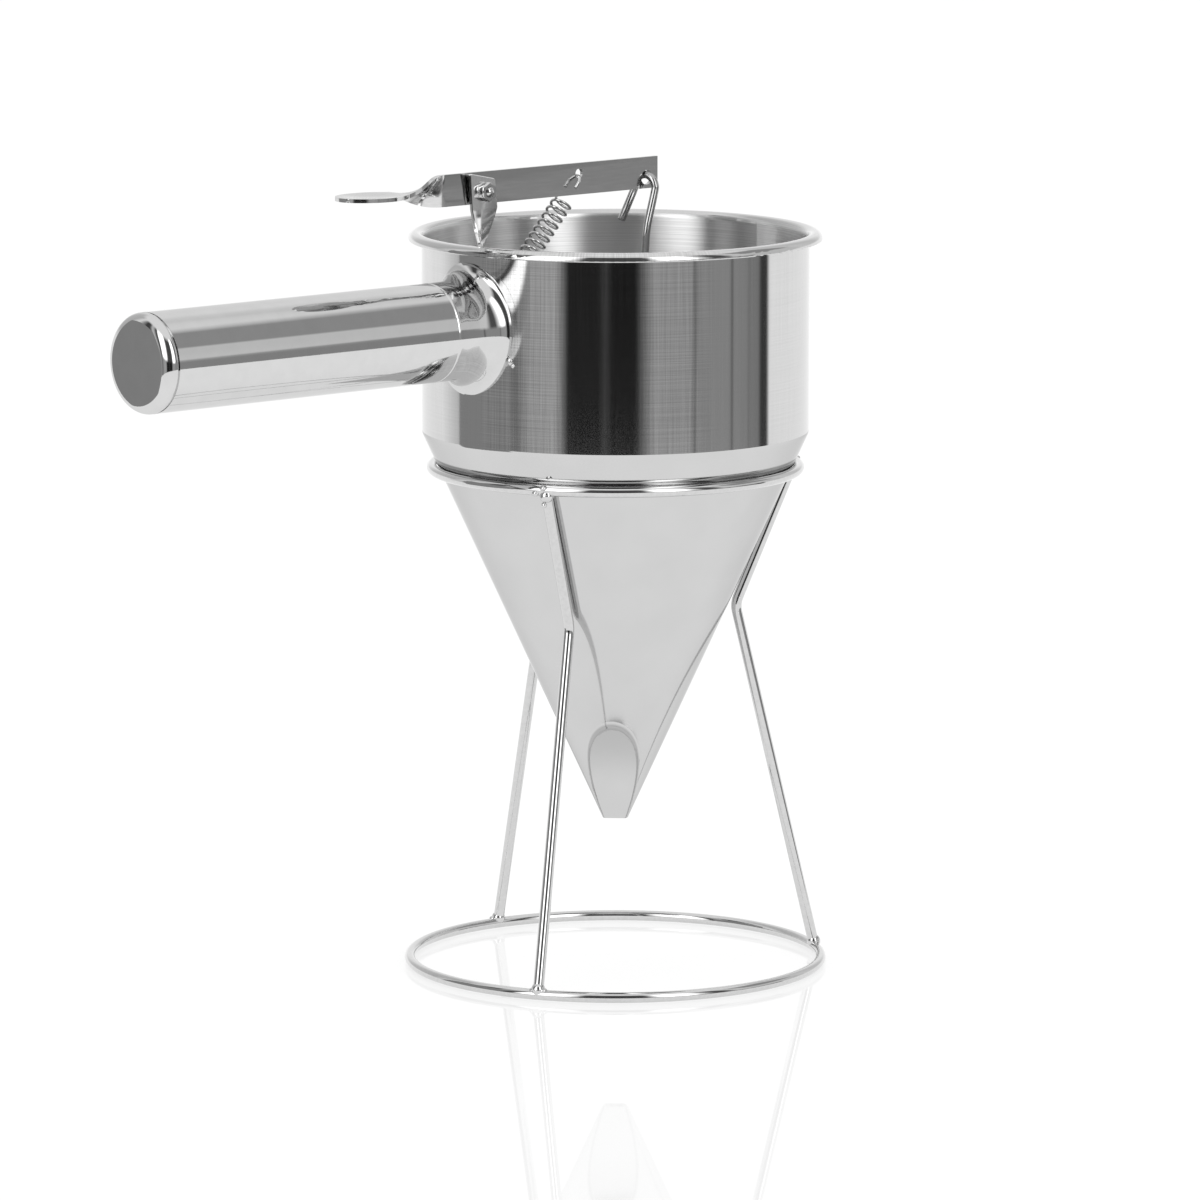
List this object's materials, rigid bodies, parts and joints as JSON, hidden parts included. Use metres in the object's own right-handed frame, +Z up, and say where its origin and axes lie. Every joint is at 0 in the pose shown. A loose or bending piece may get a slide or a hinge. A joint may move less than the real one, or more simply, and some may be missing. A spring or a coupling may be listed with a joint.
{
  "type": "pancake batter dispenser",
  "caption": "Steel funnel with a lever valve and a tube handle, held in a three-legged wire stand, for portioning batter.",
  "frame": {"origin": "middle of the stand's base ring, at the table", "axes": "+Z up along the funnel's axis, handle along -X, +Y across"},
  "size_m": [0.2611, 0.1351, 0.258],
  "materials": {
    "wire": "bright drawn wire",
    "bowl": "polished with fine turning marks",
    "cone": "satin polish",
    "handle": "mirror polish",
    "lever": "satin strip",
    "fastener": "plated",
    "spring": "drawn spring wire",
    "rod": "bright drawn wire"
  },
  "bodies": {
    "stand": {"base_ring": "wire", "top_ring": "wire", "leg_front": "wire", "leg_right": "wire", "leg_rear": "wire"},
    "funnel": {"bowl": "bowl", "cone": "cone", "handle_tube": "handle", "handle_collar": "handle", "handle_end_cap": "handle", "lever_bracket": "lever", "pivot_screw": "fastener", "pivot_washer": "fastener", "pivot_nut": "fastener", "spring": "spring"},
    "lever": {"lever": "lever"},
    "rod": {"valve_rod": "rod", "valve_plug": "fastener"}
  },
  "joints": [
    {"name": "funnel_lift", "type": "slide", "parent": "stand", "child": "funnel", "axis": [0, 0, 1], "range_m": [0, 0.13]},
    {"name": "lever_press", "type": "hinge", "parent": "funnel", "child": "lever", "pos_m": [-0.0566, 0, 0.25201], "axis": [0, -1, 0], "range_deg": [0, 25], "stiffness_Nm_per_rad": 0.25, "springref_deg": -20.05, "deforming": ["spring"]},
    {"name": "rod_swing", "type": "hinge", "parent": "lever", "child": "rod", "pos_m": [0.0126, 0, 0.25236], "axis": [0, -1, 0], "range_deg": [-25, 0]}
  ],
  "couplings": [
    {"joint": "rod_swing", "follows": "lever_press", "ratio": -1}
  ]
}
